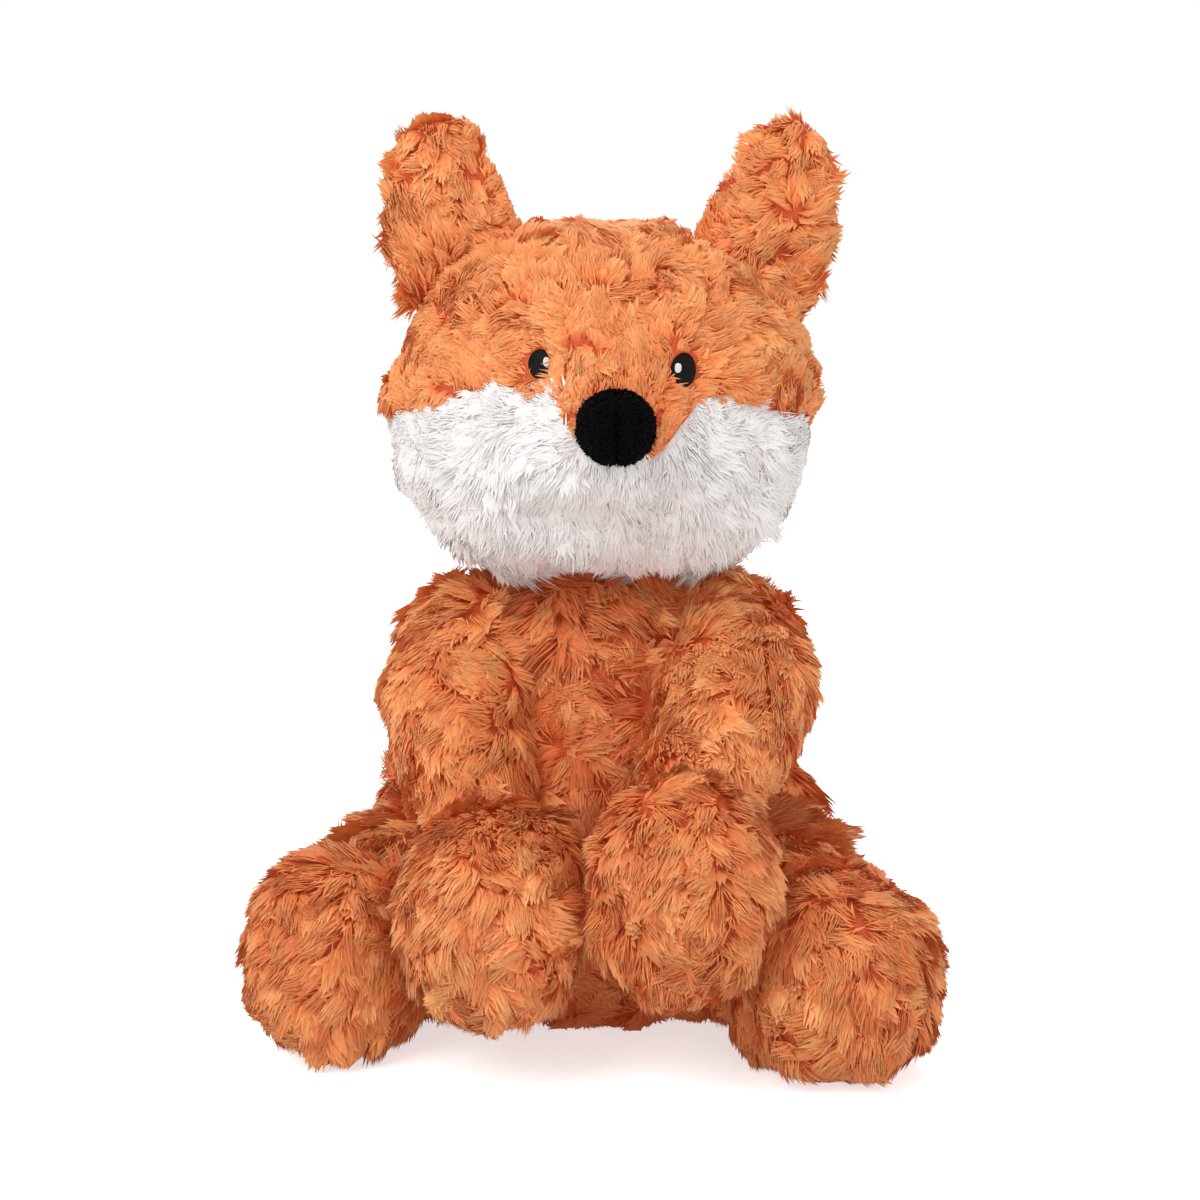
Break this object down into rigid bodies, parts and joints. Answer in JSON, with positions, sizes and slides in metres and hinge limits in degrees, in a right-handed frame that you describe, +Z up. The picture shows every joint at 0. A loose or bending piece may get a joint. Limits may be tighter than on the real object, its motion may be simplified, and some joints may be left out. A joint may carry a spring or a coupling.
{
  "type": "plush fox",
  "caption": "Seated floppy plush fox in long orange fur with a white lower face, a padded black nose, embroidered eyes, upright ears, bendable arms and legs with big round paws, and a tail.",
  "frame": {"origin": "middle of the flat underside of the torso, on the surface that the toy sits on", "axes": "+Z up, the toy faces -Y, and its own left side is on +X"},
  "size_m": [0.238, 0.2811, 0.3344],
  "materials": {
    "plush_orange": "long soft orange pile",
    "plush_white": "long soft white pile",
    "nose_cloth": "black short-nap cloth",
    "black_thread": "black satin stitch",
    "white_thread": "white satin stitch",
    "orange_thread": "hand-sewn thread",
    "filling": "loose fibre filling",
    "bean_bag": "plain cotton bag of pellets",
    "backing": "stiff embroidery backing"
  },
  "bodies": {
    "torso": {"torso_front": "plush_orange", "torso_back": "plush_orange", "torso_filling": "filling", "seat_bean_bag": "bean_bag"},
    "neck": {"neck_core": "plush_orange", "neck_thread": "orange_thread"},
    "head": {"cheek_left": "plush_white", "cheek_right": "plush_white", "head_side_left": "plush_orange", "head_side_right": "plush_orange", "crown_gusset": "plush_orange", "head_filling": "filling", "eye_left": "black_thread", "eye_right": "black_thread", "eye_glint_left": "white_thread", "eye_glint_right": "white_thread", "eye_backing_left": "backing", "eye_backing_right": "backing", "nose_cover": "nose_cloth", "nose_filling": "filling"},
    "tail": {"tail_skin": "plush_orange", "tail_tip": "plush_white", "tail_filling": "filling"},
    "ear_left": {"ear_left_front": "plush_orange", "ear_left_back": "plush_orange"},
    "arm_left": {"arm_left_skin": "plush_orange", "arm_left_filling": "filling"},
    "paw_left": {"paw_left_skin": "plush_orange", "paw_left_filling": "filling"},
    "leg_left": {"leg_left_skin": "plush_orange", "leg_left_filling": "filling"},
    "foot_left": {"foot_left_skin": "plush_orange", "foot_left_bean_bag": "bean_bag"},
    "ear_right": {"ear_right_front": "plush_orange", "ear_right_back": "plush_orange"},
    "arm_right": {"arm_right_skin": "plush_orange", "arm_right_filling": "filling"},
    "paw_right": {"paw_right_skin": "plush_orange", "paw_right_filling": "filling"},
    "leg_right": {"leg_right_skin": "plush_orange", "leg_right_filling": "filling"},
    "foot_right": {"foot_right_skin": "plush_orange", "foot_right_bean_bag": "bean_bag"}
  },
  "joints": [
    {"name": "head_turn", "type": "hinge", "parent": "torso", "child": "neck", "pos_m": [0, -0.004, 0.149], "axis": [0, 0, 1], "range_deg": [-40, 40]},
    {"name": "head_nod", "type": "hinge", "parent": "neck", "child": "head", "pos_m": [0, -0.004, 0.177], "axis": [1, 0, 0], "range_deg": [-14, 14]},
    {"name": "ear_left_fold", "type": "hinge", "parent": "head", "child": "ear_left", "pos_m": [0.05439, 0.00028, 0.27084], "axis": [0.6419, 0.0357, -0.766], "range_deg": [-10, 50]},
    {"name": "ear_right_fold", "type": "hinge", "parent": "head", "child": "ear_right", "pos_m": [-0.0504, -0.00522, 0.27633], "axis": [0.7184, 0.0357, 0.6947], "range_deg": [-10, 50]},
    {"name": "arm_left_raise", "type": "hinge", "parent": "torso", "child": "arm_left", "pos_m": [0.0495, -0.014, 0.128], "axis": [-1, 0, 0], "range_deg": [0, 42]},
    {"name": "arm_right_raise", "type": "hinge", "parent": "torso", "child": "arm_right", "pos_m": [-0.0495, -0.014, 0.128], "axis": [-1, 0, 0], "range_deg": [0, 42]},
    {"name": "paw_left_bend", "type": "hinge", "parent": "arm_left", "child": "paw_left", "pos_m": [0.03319, -0.07662, 0.10038], "axis": [-1, 0, 0], "range_deg": [0, 30]},
    {"name": "paw_right_bend", "type": "hinge", "parent": "arm_right", "child": "paw_right", "pos_m": [-0.04042, -0.06056, 0.08544], "axis": [-1, 0, 0], "range_deg": [0, 30]},
    {"name": "leg_left_splay", "type": "hinge", "parent": "torso", "child": "leg_left", "pos_m": [0.034, -0.014, 0.027], "axis": [0, 0, 1], "range_deg": [0, 22]},
    {"name": "leg_right_splay", "type": "hinge", "parent": "torso", "child": "leg_right", "pos_m": [-0.034, -0.014, 0.027], "axis": [0, 0, -1], "range_deg": [0, 22]},
    {"name": "foot_left_turn", "type": "hinge", "parent": "leg_left", "child": "foot_left", "pos_m": [0.05637, -0.04595, 0.033], "axis": [0, 0, 1], "range_deg": [0, 24]},
    {"name": "foot_right_turn", "type": "hinge", "parent": "leg_right", "child": "foot_right", "pos_m": [-0.06431, -0.03854, 0.033], "axis": [0, 0, -1], "range_deg": [0, 24]},
    {"name": "tail_swing", "type": "hinge", "parent": "torso", "child": "tail", "pos_m": [0, 0.042, 0.026], "axis": [0, 0, 1], "range_deg": [-30, 30]}
  ]
}
